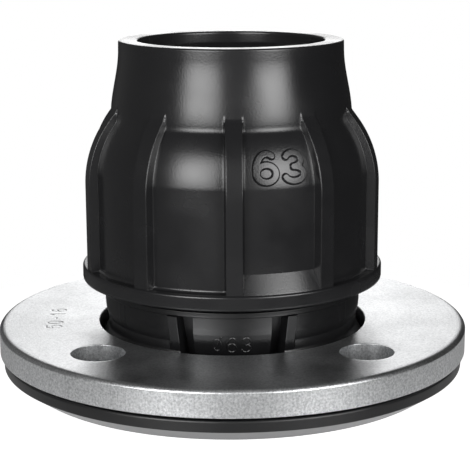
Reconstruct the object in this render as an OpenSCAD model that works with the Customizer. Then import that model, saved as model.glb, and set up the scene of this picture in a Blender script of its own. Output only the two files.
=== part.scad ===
// Compression flange adaptor: joins a plain plastic pipe to a bolted flange.
// A moulded body carries a full-face flange, a loose steel ring lies on that flange,
// and a ribbed nut on the body's thread drives a split grip ring and a bush on to a seal.
// The axis is Z, the sealing face is Z = 0, and the marked panel looks along -Y.

/* [Pipe] */
// Outside diameter of the pipe that goes in
pipe_d = 63; // [56:0.5:68]
// Radial clearance of the pipe in its socket
pipe_clear = 0.4; // [0.2:0.05:0.8]
// Length of pipe held below the seal
socket_depth = 38; // [30:0.5:44]
// Diameter of the waterway below the pipe stop
flow_d = 52; // [40:0.5:56]

/* [Moulded flange] */
// Diameter of the moulded flange
flange_d = 162.4; // [158:0.2:172]
// Thickness of the moulded flange
flange_t = 10; // [8:0.2:14]
// Height of the bevel under the flange's edge
bevel_h = 5; // [2:0.2:7]
// Width of the bevel under the flange's edge
bevel_w = 7.4; // [3:0.2:9]
// Diameter of the bolt circle
bolt_pcd = 125; // [122:0.5:128]
// Number of bolt holes
bolt_count = 4; // [4, 8]
// Diameter of each bolt hole
bolt_hole_d = 18; // [14:0.5:20]
// Depth of the sealing grooves in the face
groove_depth = 0.6; // [0.3:0.1:1]
// Radial distance from one sealing groove to the next
groove_pitch = 5; // [3:0.25:6]

/* [Steel ring] */
// Outside diameter of the steel ring
ring_d = 165; // [160:0.5:172]
// Thickness of the steel ring
ring_t = 9.2; // [7:0.1:12]
// Radius of the steel ring's edges
ring_edge_r = 0.6; // [0.3:0.1:1]
// Width of the band where the ring's top face rolls down to its rim
ring_roll_w = 6; // [3:0.25:8]
// How far the ring's top face rolls down at its rim
ring_roll_h = 1.2; // [0.4:0.1:2]
// Radial clearance between the steel ring and the hub it turns on
ring_clear = 0.5; // [0.3:0.05:1]

/* [Neck] */
// How far the hub stands out from the thread's crest
hub_step = 1.9; // [1:0.1:3]
// How far the hub ends below the steel ring's top face
hub_below = 5.8; // [4.5:0.1:7]
// Height of the sloped foot on the hub
foot_h = 6.3; // [5:0.1:8]
// Radius of the fillet between the foot and the waist
foot_fillet_r = 2; // [1:0.5:4]
// Depth of the waist below the thread's crest
waist_depth = 0.9; // [0.5:0.1:1.4]
// Height from the foot to the collar
neck_h = 11.3; // [10.5:0.1:13]
// Height of the straight band under the collar
band_h = 5.5; // [4:0.1:6]
// Height over which the band runs in to the waist
run_in_h = 4.2; // [2.5:0.1:4.5]
// Height of the collar below the thread
collar_h = 3; // [2:0.1:5]
// How far the collar and the neck's ribs stand out from the thread's crest
collar_step = 1.1; // [0.6:0.1:1.6]
// Width of each rib on the neck
neck_rib_w = 4.4; // [3:0.1:6]
// Angle between the marked panel's middle and the middle of a pair of neck ribs
neck_rib_mid = 41.5; // [36:0.5:50]
// Angle between the two ribs of a pair
neck_rib_spread = 32.5; // [26:0.5:38]
// Half angle of the marked panel
window_half = 17; // [12:0.5:19]
// Depth of the pockets between the marked panel and its ribs
pocket_depth = 2.2; // [1:0.1:3]

/* [Thread and mouth] */
// Length of the thread on the body
thread_len = 33; // [28:0.5:38]
// Depth of the thread
thread_depth = 2.4; // [1.6:0.1:3]
// Radial clearance between the thread's crest and the nut
thread_clear = 0.3; // [0.3:0.05:0.6]
// Wall between the thread's root and the seal's seat
mouth_wall = 3.2; // [2.4:0.1:4.5]
// Height of the plain nose above the thread
nose_h = 2; // [1:0.1:4]
// Depth of the seal's seat below the nose
seat_depth = 11; // [9.5:0.1:13]

/* [Seal, bush and grip ring] */
// Thickness of the seal's round cord
cord_d = 6.9; // [5:0.1:8]
// Radial gap between the pipe and the free seal
seal_pipe_gap = 0.55; // [0.3:0.05:1]
// Radial gap between the free seal and its seat
seal_seat_gap = 0.35; // [0.1:0.05:0.6]
// Gap at which the loose pieces rest on each other
rest_gap = 0.1; // [0.05:0.05:0.2]
// Radial gap between the pipe and the bush
bush_pipe_gap = 0.7; // [0.4:0.05:1.2]
// Radial gap between the bush's skirt and the seat
bush_seat_gap = 0.35; // [0.2:0.05:0.6]
// Height of the bush's head above the body's nose
bush_head_h = 8.5; // [6:0.1:11]
// Gap between the bush's head and the nose under it
bush_nose_gap = 0.3; // [0.2:0.05:0.6]
// Radial gap between the pipe and the tips of the grip ring's teeth
grip_pipe_gap = 0.6; // [0.3:0.05:1]
// Wall of the grip ring at its wide end
grip_wall = 9.05; // [7:0.05:10]
// Distance from the grip ring's narrow end to the end of the nut's cone
grip_end_gap = 8; // [5:0.1:12]
// Gap between the grip ring and the nut's cone, measured across
cone_clear = 0.35; // [0.3:0.05:0.6]
// Width of the slit in the grip ring
slit_w = 7; // [4:0.25:10]
// Direction of the slit, counted from the marked panel towards +X
slit_turn = 140; // [0:1:359]
// Depth of the grip ring's teeth
tooth_depth = 0.9; // [0.5:0.05:1.4]
// Height of each tooth
tooth_pitch = 3.5; // [2:0.1:5]

/* [Nut] */
// Gap between the body's collar and the nut's rim
nut_gap = 1.1; // [0.6:0.1:4]
// Overall height of the nut
nut_h = 82.8; // [78:0.1:90]
// Wall outside the nut's thread
nut_wall = 3.7; // [3.2:0.1:5]
// Height of the nut's rim
rim_h = 5.2; // [3:0.1:8]
// How far the rim stands out from the nut's ribs
rim_lip = 0.8; // [0.3:0.1:2]
// Radius of the edges on the rim and the mouth
nut_edge_r = 0.8; // [0.3:0.1:1.2]
// Radius of the fillet where a panel meets the rim
ledge_r = 1.6; // [0.6:0.1:2.4]
// Height of the straight panels above the rim
panel_h = 34; // [30:0.5:38]
// Radius of the dome's curve over a panel
dome_r = 30.6; // [28:0.2:38]
// Lean of the dome where it leaves a panel
dome_lean = 5; // [0:0.5:8]
// Radius of the fillet between the dome and the spigot
dome_fillet_r = 3.5; // [2:0.1:6]
// Wall at the top of the nut's spigot
top_wall = 6.5; // [5:0.1:8]
// Radial clearance of the pipe in the nut's mouth
mouth_clear = 0.75; // [0.5:0.05:1.2]
// Length of the straight mouth
mouth_land = 4; // [2:0.1:8]
// Radius of the spigot's hollow curve
spigot_r = 130; // [110:1:200]
// Lean of the spigot at its top
spigot_lean = 1.15; // [0:0.05:3]
// Gap between the body's nose and the shoulder inside the nut
head_gap = 1.5; // [0.6:0.1:3]

/* [Nut ribs] */
// Number of ribs
rib_count = 10; // [8:1:12]
// Width of each rib
rib_w = 5.6; // [4:0.1:7]
// Height of each rib
rib_h = 3; // [2:0.1:4]
// How far the nut is turned from the marked panel towards +X
nut_turn = 0.9; // [0:0.1:35]
// Radius of the dome's curve along a rib
rib_dome_r = 36; // [32:0.2:40]
// How far a rib's curve starts below the panel's dome
rib_drop = 4.3; // [3:0.1:8]
// Radius of the fillet where a rib runs out on the spigot
rib_fillet_r = 10; // [6:0.2:12]
// Height of the sloped pad that fills one panel's ledge
pad_h = 6.2; // [4:0.1:10]

/* [Hidden] */
$fn = 96;
tiny = 0.01;
marked_panel = -90;
black_pp = [0.11, 0.11, 0.115];
bush_pp = [0.16, 0.16, 0.165];
seal_rubber = [0.07, 0.07, 0.07];
grip_white = [0.88, 0.88, 0.85];
zinc = [0.74, 0.75, 0.76];

// Radii, worked out from the pipe outwards
pipe_r = pipe_d / 2;
socket_r = pipe_r + pipe_clear;
flow_r = flow_d / 2;
seal_in_r = pipe_r + seal_pipe_gap;
seal_mid_r = seal_in_r + cord_d / 2;
seat_r = seal_in_r + cord_d + seal_seat_gap;
thread_root_r = seat_r + mouth_wall;
thread_r = thread_root_r + thread_depth;
hub_r = thread_r + hub_step;
waist_r = thread_r - waist_depth;
collar_r = thread_r + collar_step;
ring_bore_r = hub_r + ring_clear;
nut_bore_r = thread_r + thread_clear;
panel_r = nut_bore_r + nut_wall;
rib_r = panel_r + rib_h;
rim_r = rib_r + rim_lip;
mouth_r = pipe_r + mouth_clear;
top_r = mouth_r + top_wall;
bush_in_r = pipe_r + bush_pipe_gap;
skirt_r = seat_r - bush_seat_gap;
grip_in_r = pipe_r + grip_pipe_gap;
grip_base_r = grip_in_r + grip_wall;
cone_r = grip_base_r + cone_clear;

// Heights, worked out from the sealing face upwards
z_ring = flange_t + ring_t;
z_hub = z_ring - hub_below;
z_waist = z_hub + foot_h;
foot_lean = atan2(hub_r - waist_r, foot_h);
z_fillet = z_waist + foot_fillet_r * tan(foot_lean / 2);
z_collar = z_waist + neck_h;
z_thread = z_collar + collar_h;
z_nose = z_thread + thread_len + nose_h;
z_seat = z_nose - seat_depth;
z_stop = z_seat - socket_depth;
z_seal = z_seat + rest_gap + cord_d / 2;
z_skirt = z_seal + cord_d / 2 + rest_gap;
z_head = z_nose + bush_nose_gap;
z_bush = z_head + bush_head_h;
z_grip = z_bush + 2 * rest_gap;
z_nut = z_thread + nut_gap;
z_rim = z_nut + rim_h;
z_panel = z_rim + panel_h;
z_top = z_nut + nut_h;
z_shoulder = z_nose + head_gap;
z_mouth = z_top - mouth_land;
z_grip_top = z_mouth - grip_end_gap;

// Radius of the nut's inner cone at a height
function cone_at(z) = cone_r + (mouth_r - cone_r) * (z - z_grip) / (z_mouth - z_grip);

// Points of an arc about a centre, in the plane of radius and height
function arc(centre, r, from, to, steps, first = 0) =
    [for (i = [first:steps])
        let (a = from + (to - from) * i / steps)
        centre + r * [cos(a), sin(a)]];

// Direction from one point to another
function heading(a, b) = atan2(b[1] - a[1], b[0] - a[0]);

// The upper meeting point of two circles
function circles_meet(a, ra, b, rb) =
    let (d = norm(b - a),
         along = (d * d + ra * ra - rb * rb) / (2 * d),
         up = sqrt(ra * ra - along * along),
         u = (b - a) / d)
    a + along * u + up * [-u[1], u[0]];

// Spigot's hollow curve: its centre lies outside, level with a point near the top
spigot_centre = [top_r, z_top - nut_edge_r] + spigot_r * [cos(spigot_lean), sin(spigot_lean)];

// Outline from a wall over its dome and fillet on to the spigot
function dome_outline(wall_r, z, r, lean, fillet) =
    let (centre = [wall_r, z] - r * [cos(lean), sin(lean)],
         blend = circles_meet(centre, r + fillet, spigot_centre, spigot_r - fillet),
         leave = heading(centre, blend),
         meet = heading(spigot_centre, blend))
    concat(
        arc(centre, r, lean, leave, 12),
        arc(blend, fillet, leave + 180, meet + 360, 6, 1));

panel_outline = dome_outline(panel_r, z_panel, dome_r, dome_lean, dome_fillet_r);
rib_outline = dome_outline(rib_r, z_panel - rib_drop, rib_dome_r, 0, rib_fillet_r);
spigot_foot = panel_outline[len(panel_outline) - 1];
rib_tip = rib_outline[len(rib_outline) - 1];

// Copies its children round the axis, the first at an angle from the marked panel
module around(count, turn = 0) {
    for (i = [0:count - 1])
        rotate([0, 0, marked_panel + turn + 360 * i / count])
            children();
}

module bolt_holes(z0, z1) {
    around(bolt_count, 180 / bolt_count)
        translate([bolt_pcd / 2, 0, z0 - tiny])
            cylinder(d = bolt_hole_d, h = z1 - z0 + 2 * tiny);
}

// A sector of a turned outline, centred on the angle turn
module sector(half, turn) {
    rotate([0, 0, marked_panel + turn - half])
        rotate_extrude(angle = 2 * half)
            children();
}

module body_turned() {
    rotate_extrude()
        polygon(concat(
            [[flow_r + nut_edge_r, 0], [flange_d / 2 - bevel_w, 0], [flange_d / 2, bevel_h]],
            arc([flange_d / 2 - nut_edge_r, flange_t - nut_edge_r], nut_edge_r, 0, 90, 3),
            [[hub_r, flange_t], [hub_r, z_hub]],
            arc([waist_r + foot_fillet_r, z_fillet], foot_fillet_r, 180 + foot_lean, 180, 5),
            [[waist_r, z_collar - band_h - run_in_h], [thread_r, z_collar - band_h], [thread_r, z_collar],
             [collar_r, z_collar], [collar_r, z_thread - collar_step], [thread_r, z_thread],
             [thread_r, z_nose - nose_h], [thread_root_r, z_nose],
             [seat_r, z_nose], [seat_r, z_seat],
             [socket_r, z_seat], [socket_r, z_stop],
             [flow_r, z_stop], [flow_r, nut_edge_r]]));
}

module sealing_grooves() {
    groove_count = 3;
    for (i = [1:groove_count])
        rotate_extrude()
            translate([flow_r + 2 * groove_pitch + (i - 1) * groove_pitch, 0])
                polygon([[-groove_depth, -tiny], [groove_depth, -tiny], [0, groove_depth]]);
}

module neck_ribs() {
    for (side = [0, 180], pair = [-1, 1], edge = [-1, 1])
        rotate([0, 0, marked_panel + side + pair * neck_rib_mid + edge * neck_rib_spread / 2])
            translate([socket_r + pipe_clear, -neck_rib_w / 2, flange_t])
                cube([collar_r - socket_r - pipe_clear, neck_rib_w, z_collar - flange_t + tiny]);
}

// Pockets between each marked panel and the ribs beside it
module neck_pockets() {
    rib_turn = neck_rib_mid - neck_rib_spread / 2;
    for (side = [0, 180], hand = [-1, 1])
        sector((rib_turn - window_half) / 2, side + hand * (rib_turn + window_half) / 2)
            translate([waist_r - pocket_depth, z_hub])
                square([hub_r - waist_r + pocket_depth + tiny, z_collar - z_hub]);
}

module fitting_body() {
    color(black_pp)
        difference() {
            union() {
                difference() {
                    body_turned();
                    neck_pockets();
                }
                neck_ribs();
            }
            bolt_holes(0, flange_t);
            sealing_grooves();
        }
}

module backing_flange() {
    in_r = ring_bore_r;
    out_r = ring_d / 2;
    e = ring_edge_r;
    roll_steps = 6;
    color(zinc)
        difference() {
            rotate_extrude()
                polygon(concat(
                    arc([out_r - e, flange_t + e], e, -90, 0, 4),
                    arc([out_r - e, z_ring - ring_roll_h - e / 2], e, 0, 60, 3),
                    [for (i = [roll_steps - 1:-1:0])
                        let (s = i / roll_steps)
                        [out_r - ring_roll_w * (1 - s), z_ring - ring_roll_h * pow(s, 3)]],
                    arc([in_r + e, z_ring - e], e, 90, 180, 4),
                    arc([in_r + e, flange_t + e], e, 180, 270, 4)));
            bolt_holes(flange_t, z_ring);
        }
}

module o_ring_seal() {
    color(seal_rubber)
        rotate_extrude()
            translate([seal_mid_r, z_seal])
                circle(d = cord_d);
}

module thrust_bush() {
    head_r = cone_r - 2 * cone_clear;
    color(bush_pp)
        rotate_extrude()
            polygon([[bush_in_r, z_skirt], [skirt_r, z_skirt], [skirt_r, z_head],
                     [head_r, z_head], [head_r, z_bush], [bush_in_r, z_bush]]);
}

module grip_ring() {
    height = z_grip_top - z_grip;
    teeth = floor(height / tooth_pitch) - 1;
    root_r = grip_in_r + tooth_depth;
    color(grip_white)
        difference() {
            rotate_extrude()
                polygon(concat(
                    [[grip_base_r, z_grip], [cone_at(z_grip_top) - cone_clear, z_grip_top],
                     [grip_in_r, z_grip_top]],
                    [for (i = [0:teeth - 1], step = [0, 1])
                        [step == 0 ? grip_in_r : root_r, z_grip_top - (i + step) * tooth_pitch]],
                    [[grip_in_r, z_grip_top - teeth * tooth_pitch], [grip_in_r, z_grip]]));
            rotate([0, 0, marked_panel + slit_turn])
                translate([0, -slit_w / 2, z_grip - tiny])
                    cube([cone_r, slit_w, height + 2 * tiny]);
        }
}

module nut_turned() {
    top_edge = top_r - nut_edge_r;
    foot = heading(spigot_centre, spigot_foot);
    rotate_extrude()
        polygon(concat(
            [[nut_bore_r + nut_edge_r, z_nut]],
            arc([rim_r - nut_edge_r, z_nut + nut_edge_r], nut_edge_r, -90, 0, 3),
            arc([rim_r - nut_edge_r, z_rim - nut_edge_r], nut_edge_r, 0, 90, 3),
            arc([panel_r + ledge_r, z_rim + ledge_r], ledge_r, 270, 180, 4),
            panel_outline,
            arc(spigot_centre, spigot_r, foot, spigot_lean - 180, 6, 1),
            arc([top_edge, z_top - nut_edge_r], nut_edge_r, 0, 90, 3),
            [[mouth_r + nut_edge_r, z_top], [mouth_r, z_top - nut_edge_r], [mouth_r, z_mouth],
             [cone_r, z_grip], [cone_r, z_shoulder],
             [nut_bore_r, z_shoulder], [nut_bore_r, z_nut + nut_edge_r]]));
}

module nut_ribs() {
    root_r = panel_r - nut_wall / 2;
    around(rib_count, nut_turn)
        rotate([90, 0, 0])
            translate([0, 0, -rib_w / 2])
                linear_extrude(height = rib_w)
                    polygon(concat(
                        [[root_r, z_rim - rim_h / 2], [rib_r, z_rim - rim_h / 2]],
                        rib_outline,
                        [[rib_tip[0] - nut_edge_r, rib_tip[1]],
                         [root_r, z_panel - rib_drop]]));
}

module sloped_pad() {
    step = 360 / rib_count;
    sector(step / 2, nut_turn + step / 2)
        polygon([[panel_r - nut_wall / 2, z_rim - rim_h / 2], [rib_r, z_rim - rim_h / 2],
                 [rib_r, z_rim], [panel_r, z_rim + pad_h], [panel_r - nut_wall / 2, z_rim + pad_h]]);
}

module compression_nut() {
    color(black_pp)
        union() {
            nut_turned();
            nut_ribs();
            sloped_pad();
        }
}

fitting_body();
backing_flange();
o_ring_seal();
thrust_bush();
grip_ring();
compression_nut();
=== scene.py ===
"""Looks of a compression flange adaptor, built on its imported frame.

Lengths are written in millimetres and become metres where a mesh is made. The pipe's axis is Z,
the sealing face lies at height zero, and angles are counted from the marked side, -Y, towards +X.
"""

import logging
import math
from collections.abc import Callable, Sequence
from dataclasses import dataclass, field
from enum import Enum
from typing import NamedTuple

import bmesh
import bpy
import numpy as np
from bpy.types import Material, Mesh, Node, NodeSocket, NodeTree, Object
from mathutils import Matrix, Vector
from mathutils.geometry import delaunay_2d_cdt


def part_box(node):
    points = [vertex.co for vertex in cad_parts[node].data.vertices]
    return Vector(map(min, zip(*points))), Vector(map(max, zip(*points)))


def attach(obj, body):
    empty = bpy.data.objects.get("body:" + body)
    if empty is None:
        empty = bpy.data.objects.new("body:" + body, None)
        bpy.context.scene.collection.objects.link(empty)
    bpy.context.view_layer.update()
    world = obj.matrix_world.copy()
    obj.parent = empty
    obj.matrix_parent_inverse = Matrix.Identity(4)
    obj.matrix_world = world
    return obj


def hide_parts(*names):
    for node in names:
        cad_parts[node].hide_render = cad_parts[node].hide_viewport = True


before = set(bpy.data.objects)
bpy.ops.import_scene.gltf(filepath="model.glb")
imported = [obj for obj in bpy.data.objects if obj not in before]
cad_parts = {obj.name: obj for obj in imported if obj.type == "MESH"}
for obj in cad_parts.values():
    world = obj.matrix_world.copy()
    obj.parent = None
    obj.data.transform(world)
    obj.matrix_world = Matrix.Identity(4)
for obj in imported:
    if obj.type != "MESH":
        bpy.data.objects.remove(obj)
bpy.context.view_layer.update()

LOG = logging.getLogger("flange_adaptor")
MM = 0.001
Point = tuple[float, float]
Inputs = dict[int | str, object]

# Fineness of the meshes: turn of one step round an edge, and the flat strip kept beside it
ROUND_STEP = math.radians(13.0)
HOLD = 0.35
WELD = 0.002
SHARP_ANGLE = math.radians(38.0)


class Body(Enum):
    """Moving bodies of the frame."""

    FIXED = "body"
    RING = "ring"
    GRIP = "grip"
    NUT = "nut"


# Shapes in the plane of radius and height


class Corner(NamedTuple):
    """A corner of an outline, in radius and height, and the radius that rounds it."""

    r: float
    z: float
    round: float = 0.0


def arc(centre: Point, radius: float, start: float, end: float, steps: int) -> list[Point]:
    """Points along an arc, both ends included, with angles in degrees from growing radius."""
    angles = np.radians(np.linspace(start, end, steps + 1))
    return [(centre[0] + radius * math.cos(a), centre[1] + radius * math.sin(a)) for a in angles]


def heading(start: Point, end: Point) -> float:
    """Direction from one point to another, in degrees."""
    return math.degrees(math.atan2(end[1] - start[1], end[0] - start[0]))


def circles_meet(a: Point, radius_a: float, b: Point, radius_b: float) -> Point:
    """Meeting point of two circles that lies to the left of the way from centre a to centre b."""
    across = (b[0] - a[0], b[1] - a[1])
    distance = math.hypot(*across)
    along = (distance**2 + radius_a**2 - radius_b**2) / (2 * distance)
    up = math.sqrt(radius_a**2 - along**2)
    u = (across[0] / distance, across[1] / distance)
    return (a[0] + along * u[0] - up * u[1], a[1] + along * u[1] + up * u[0])


def rounded(rows: Sequence[tuple[float, ...]], closed: bool = True) -> list[Point]:
    """Round the corners of an outline and keep its straight runs straight.

    Args:
        rows: Radius, height and rounding of each corner, in order. No rounding leaves it sharp.
        closed: Whether the last corner joins the first.

    Returns:
        Points of the rounded outline, with an extra point close to each end of a straight run.
    """
    corners = [Corner(*row) for row in rows]
    spots = [np.array(corner[:2], dtype=float) for corner in corners]
    path: list[np.ndarray] = []
    for i, corner in enumerate(corners):
        here = spots[i]
        if corner.round <= 0 or (not closed and i in (0, len(corners) - 1)):
            path.append(here)
            continue
        back = spots[i - 1] - here
        ahead = spots[(i + 1) % len(spots)] - here
        back /= np.linalg.norm(back)
        ahead /= np.linalg.norm(ahead)
        half = math.acos(float(np.clip(back @ ahead, -1.0, 1.0))) / 2
        centre = here + (back + ahead) / np.linalg.norm(back + ahead) * corner.round / math.sin(half)
        first = here + back * corner.round / math.tan(half) - centre
        turn = math.copysign(math.pi - 2 * half, back[1] * ahead[0] - back[0] * ahead[1])
        steps = max(2, math.ceil(abs(turn) / ROUND_STEP))
        for a in np.linspace(0.0, turn, steps + 1):
            path.append(centre + [first[0] * math.cos(a) - first[1] * math.sin(a),
                                  first[0] * math.sin(a) + first[1] * math.cos(a)])
    held: list[np.ndarray] = []
    for i, here in enumerate(path):
        held.append(here)
        if i + 1 == len(path) and not closed:
            break
        ahead = path[(i + 1) % len(path)] - here
        length = float(np.linalg.norm(ahead))
        if length > 4 * HOLD:
            held.append(here + ahead * HOLD / length)
            held.append(here + ahead * (1 - HOLD / length))
    return [(float(p[0]), float(p[1])) for p in held]


def joined(*runs: Sequence[Point]) -> np.ndarray:
    """Join runs of points into one outline, without the points that two runs share."""
    path = [point[:2] for run in runs for point in run]
    kept = [path[0]]
    for point in path[1:]:
        if math.dist(point, kept[-1]) > WELD:
            kept.append(point)
    return np.array(kept)


def outline(*rows: tuple[float, ...]) -> np.ndarray:
    """Open outline with rounded corners, each a row of radius, height and rounding."""
    return joined(rounded(rows, False))


def hole_outline(radius: float, top: float, bottom: float, edges: Point, margins: Point) -> np.ndarray:
    """Outline of a hole through a plate, with a rounded edge and a strip of the face at each end."""
    return outline((radius + margins[0], top), (radius, top, edges[0]),
                   (radius, bottom, edges[1]), (radius + margins[1], bottom))


def around(r: np.ndarray, angle: np.ndarray, z: np.ndarray) -> np.ndarray:
    """Points at distances from the pipe's axis, at angles from -Y towards +X and at heights."""
    r, angle, z = np.broadcast_arrays(r, angle, z)
    return np.stack([r * np.sin(angle), -r * np.cos(angle), z], axis=-1)


def turned(path: np.ndarray, angles: np.ndarray, centre: Point = (0.0, 0.0)) -> np.ndarray:
    """Turn an outline about an upright axis, into a grid with one row for each of its points."""
    return around(path[:, :1], angles, path[:, 1:2]) + (*centre, 0.0)


def full_turn(count: int) -> np.ndarray:
    """Evenly spaced angles of one full turn."""
    return np.linspace(0.0, 2 * math.pi, count, endpoint=False)


def smoothstep(low: float, high: float, value: np.ndarray) -> np.ndarray:
    """Rise softly from 0 at low to 1 at high."""
    t = np.clip((value - low) / (high - low), 0.0, 1.0)
    return t * t * (3.0 - 2.0 * t)


# Meshes


class Shell:
    """Points and faces of one piece while it is made, in millimetres."""

    def __init__(self) -> None:
        """Start with no points and no faces."""
        self.points = np.zeros((0, 3))
        self.faces: list[tuple[int, ...]] = []

    def add_points(self, points: np.ndarray) -> np.ndarray:
        """Add points and return their numbers in an array of the same layout."""
        first = len(self.points)
        self.points = np.vstack([self.points, points.reshape(-1, 3)])
        return np.arange(first, len(self.points)).reshape(points.shape[:-1])

    def add_grid(self, grid: np.ndarray, close_rows: bool = False,
                 close_columns: bool = False) -> np.ndarray:
        """Add a grid of points, joined by four-sided faces.

        Args:
            grid: Points in rows and columns.
            close_rows: Whether the last row joins the first.
            close_columns: Whether the last column joins the first.

        Returns:
            The numbers of the points, in the grid's layout.
        """
        index = self.add_points(grid)
        net = np.vstack([index, index[:1]]) if close_rows else index
        net = np.hstack([net, net[:, :1]]) if close_columns else net
        quads = np.stack([net[:-1, :-1], net[:-1, 1:], net[1:, 1:], net[1:, :-1]], axis=-1)
        self.faces.extend(map(tuple, quads.reshape(-1, 4).tolist()))
        return index

    def add_capped(self, grid: np.ndarray) -> None:
        """Add a grid that closes along its rows, with a face over its first and its last column."""
        index = self.add_grid(grid, close_rows=True)
        self.faces += [tuple(index[:, 0].tolist()), tuple(index[::-1, -1].tolist())]

    def fill(self, loops: Sequence[np.ndarray]) -> None:
        """Fill the level face inside the first loop and outside the others.

        Args:
            loops: Point numbers of each closed loop, the outermost first.
        """
        index = np.concatenate(loops)
        flat = self.points[index, :2]
        edges = []
        start = 0
        for loop in loops:
            edges += [(start + i, start + (i + 1) % len(loop)) for i in range(len(loop))]
            start += len(loop)
        result = delaunay_2d_cdt([Vector(p) for p in flat], edges, [], 1, 1e-5)
        spots = np.array([p[:] for p in result[0]])
        sources = [ids[0] for ids in result[3]]
        ends = flat[np.array(edges)]
        for face in result[2]:
            middle = spots[list(face)].mean(axis=0)
            above = ends[:, :, 1] > middle[1]
            share = (middle[1] - ends[:, 0, 1]) / (ends[:, 1, 1] - ends[:, 0, 1] + 1e-12)
            cut = ends[:, 0, 0] + share * (ends[:, 1, 0] - ends[:, 0, 0])
            crossings = (above[:, 0] != above[:, 1]) & (cut > middle[0])
            if crossings.sum() % 2:
                self.faces.append(tuple(int(index[sources[i]]) for i in face))

    def to_object(self, name: str, *finishes: Material) -> Object:
        """Weld the shell and turn it into a smooth mesh object at the origin.

        Args:
            name: Name of the piece.
            finishes: Materials for its slots.

        Returns:
            The new object.
        """
        mesh = bpy.data.meshes.new(name)
        mesh.from_pydata((self.points * MM).tolist(), [], self.faces)
        for finish in finishes:
            mesh.materials.append(finish)
        return placed(name, mesh, WELD * MM)


def turned_ring(name: str, path: np.ndarray, columns: int, finish: Material) -> Object:
    """Turn a closed outline about the axis and make an object of it."""
    shell = Shell()
    shell.add_grid(turned(path, full_turn(columns)), close_rows=True, close_columns=True)
    return shell.to_object(name, finish)


def placed(name: str, mesh: Mesh, weld: float = 0.0) -> Object:
    """Weld a mesh, turn its faces outwards, shade it smooth between sharp edges and place it."""
    work = bmesh.new()
    work.from_mesh(mesh)
    if weld > 0:
        bmesh.ops.remove_doubles(work, verts=work.verts, dist=weld)
        bmesh.ops.dissolve_degenerate(work, dist=weld / 10, edges=work.edges)
    bmesh.ops.recalc_face_normals(work, faces=work.faces)
    work.to_mesh(mesh)
    work.free()
    mesh.shade_smooth()
    mesh.set_sharp_from_angle(angle=SHARP_ANGLE)
    thing = bpy.data.objects.new(name, mesh)
    bpy.context.scene.collection.objects.link(thing)
    return thing


# Nodes


def feed(tree: NodeTree, node: Node, inputs: Inputs) -> None:
    """Give a node's inputs, by name or by place, a value or a link from another node."""
    for key, value in inputs.items():
        if isinstance(value, NodeSocket):
            tree.links.new(value, node.inputs[key])
        else:
            node.inputs[key].default_value = value


def add_node(tree: NodeTree, kind: str, inputs: Inputs | None = None,
             **settings: object) -> Node:
    """Add one node with its settings and links.

    Args:
        tree: Tree that gets the node.
        kind: Type of the node.
        inputs: A value or a source socket for each input, by name or by place.
        settings: Properties of the node.

    Returns:
        The new node.
    """
    node = tree.nodes.new(kind)
    for name, value in settings.items():
        setattr(node, name, value)
    feed(tree, node, inputs or {})
    return node


def linear(hex_colour: str) -> tuple[float, float, float, float]:
    """Turn an sRGB hex colour into linear red, green and blue, with full cover."""
    parts = [int(hex_colour[i:i + 2], 16) / 255 for i in (1, 3, 5)]
    return tuple(c / 12.92 if c <= 0.04045 else ((c + 0.055) / 1.055) ** 2.4 for c in parts) + (1.0,)


@dataclass(frozen=True)
class Wiring:
    """Short ways to add the nodes that the trees share. Each gives the new node's result."""

    tree: NodeTree

    def node(self, kind: str, inputs: Inputs | None = None, out: int | str = 0,
             **settings: object) -> NodeSocket:
        """Add any node and give one of its outputs, the first unless another is named."""
        return add_node(self.tree, kind, inputs, **settings).outputs[out]

    def math(self, operation: str, *values: object) -> NodeSocket:
        """Work out a number from one, two or three others."""
        return self.node("ShaderNodeMath", dict(enumerate(values)), operation=operation)

    def vector(self, operation: str, *values: object) -> NodeSocket:
        """Work out a vector, or a length, from other vectors."""
        out = "Value" if operation in ("LENGTH", "DISTANCE") else "Vector"
        return self.node("ShaderNodeVectorMath", dict(enumerate(values)), out, operation=operation)

    def part(self, vector: NodeSocket, axis: str) -> NodeSocket:
        """Take X, Y or Z out of a vector."""
        return self.node("ShaderNodeSeparateXYZ", {0: vector}, axis)

    def join(self, x: object = 0.0, y: object = 0.0, z: object = 0.0) -> NodeSocket:
        """Put a vector together."""
        return self.node("ShaderNodeCombineXYZ", {"X": x, "Y": y, "Z": z})

    def ramp(self, value: NodeSocket, span: Point, low: float = 0.0, high: float = 1.0,
             soft: bool = False) -> NodeSocket:
        """Map a number from a span to low and high, straight or softly, and hold it at the ends."""
        return self.node("ShaderNodeMapRange", {
            "Value": value, "From Min": span[0], "From Max": span[1], "To Min": low, "To Max": high},
            interpolation_type="SMOOTHSTEP" if soft else "LINEAR")

    def mix(self, share: NodeSocket, low: object, high: object,
            colour: bool = False) -> NodeSocket:
        """Mix two numbers or two colours by a share."""
        kind, first, out = ("RGBA", 6, 2) if colour else ("FLOAT", 2, 0)
        return self.node("ShaderNodeMix", {0: share, first: low, first + 1: high}, out, data_type=kind)

    def noise(self, place: NodeSocket, size: float, detail: float = 2.0,
              roughness: float = 0.5) -> NodeSocket:
        """Soft random numbers with swells of a size, in the units of the place."""
        return self.node("ShaderNodeTexNoise", {
            "Vector": place, "Scale": 1 / size, "Detail": detail, "Roughness": roughness})

    def bump(self, height: NodeSocket, depth_mm: float, **more: object) -> NodeSocket:
        """Tilt a surface by heights of a depth in millimetres. More inputs may be named."""
        return self.node("ShaderNodeBump", {"Height": height, "Distance": depth_mm * MM, **more})

    def from_axis(self, place: NodeSocket) -> NodeSocket:
        """Distance of a place from the pipe's axis."""
        return self.vector("LENGTH", self.vector("MULTIPLY", place, (1.0, 1.0, 0.0)))


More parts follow.
